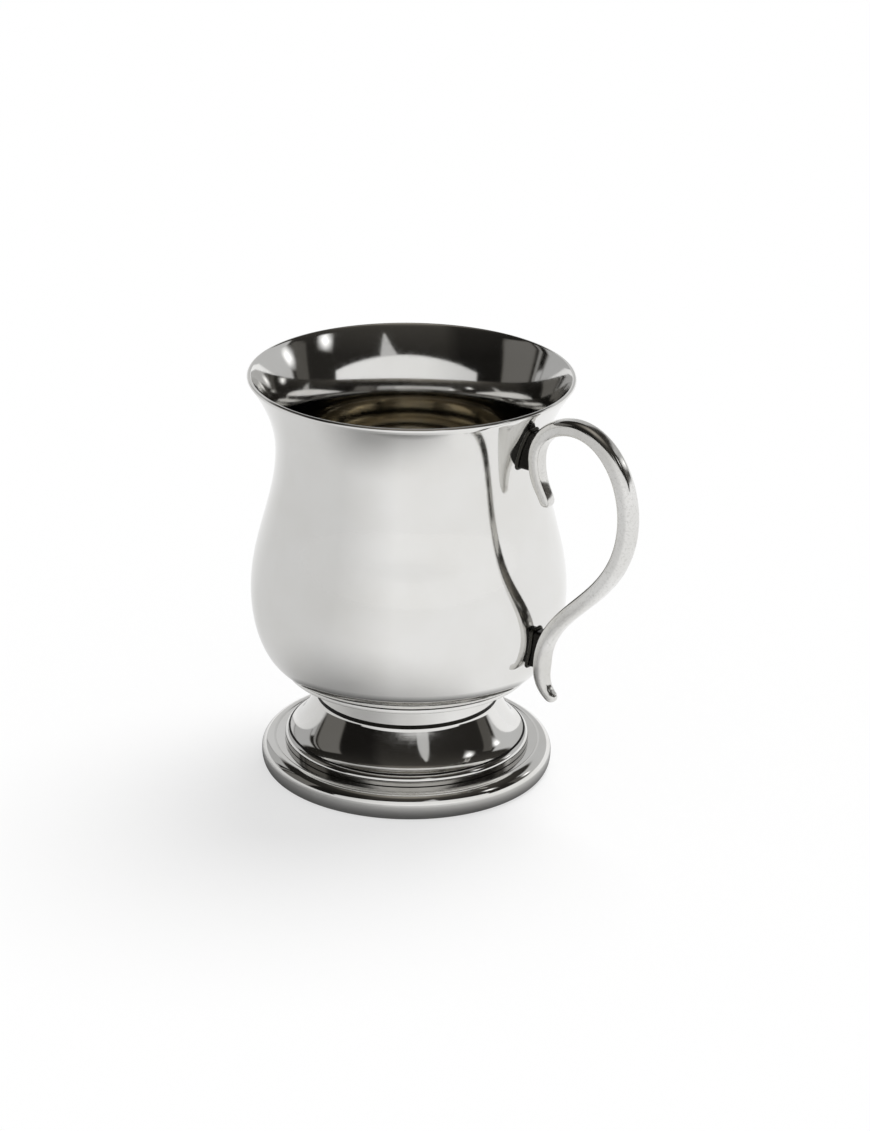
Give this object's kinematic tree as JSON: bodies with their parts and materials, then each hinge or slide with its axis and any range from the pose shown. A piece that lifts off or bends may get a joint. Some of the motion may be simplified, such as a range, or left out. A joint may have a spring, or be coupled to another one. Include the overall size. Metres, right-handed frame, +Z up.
{
  "type": "pewter baby mug",
  "caption": "Small footed pewter mug: a bell-shaped bowl with a flared rim on a spun pedestal foot, with a cast scroll handle.",
  "frame": {"origin": "under the middle of the whole mug's box, on the ground that its foot stands on", "axes": "+Z up through the mouth; +X towards the handle, along the longest extent; Y across the handle's flat plane, the shortest extent"},
  "size_m": [0.0871, 0.0652, 0.0838],
  "materials": {
    "spun_pewter": "polished spun pewter with fine wear scratches",
    "spun_foot_pewter": "polished spun pewter, slightly dulled",
    "cast_pewter": "cast pewter, polished on its rounded back and softly pitted on its sides",
    "dark_cast_pewter": "cast pewter darkened by tarnish that polishing does not reach",
    "solder": "dull grey pewter solder"
  },
  "bodies": {
    "root": {"bowl": "spun_pewter", "foot": "spun_foot_pewter", "foot_seam_solder": "solder", "handle": "cast_pewter", "upper_handle_lug": "dark_cast_pewter", "lower_handle_lug": "dark_cast_pewter", "upper_handle_solder": "solder", "lower_handle_solder": "solder"}
  },
  "joints": []
}
